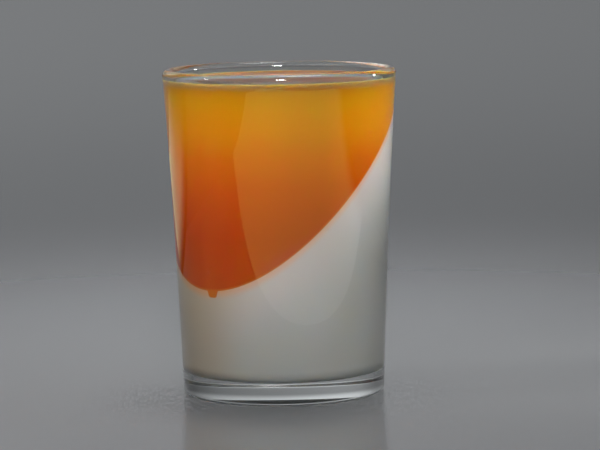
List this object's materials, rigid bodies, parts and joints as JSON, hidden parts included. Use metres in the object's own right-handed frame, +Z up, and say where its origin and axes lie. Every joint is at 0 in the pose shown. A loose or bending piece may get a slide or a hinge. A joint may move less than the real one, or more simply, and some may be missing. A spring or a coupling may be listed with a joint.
{
  "type": "panna cotta in a glass",
  "caption": "Panna cotta set in a straight-sided clear tumbler, its steeply slanted white layer topped up to a level surface with orange fruit jelly.",
  "frame": {"origin": "centre of the glass's foot, on the surface that the glass stands on", "axes": "+Z up the glass's axis; -Y is the side that shows the slope between the layers rising from low left to high right; the slope climbs towards +X and +Y"},
  "size_m": [0.0648, 0.0648, 0.09],
  "materials": {
    "clear_glass": "smooth, fire-polished at the rim",
    "white_cream": "soft satin, slightly translucent",
    "orange_jelly": "wet gloss, translucent, yellower at the top"
  },
  "bodies": {
    "root": {"glass": "clear_glass", "panna_cotta": "white_cream", "orange_jelly": "orange_jelly"}
  },
  "joints": []
}
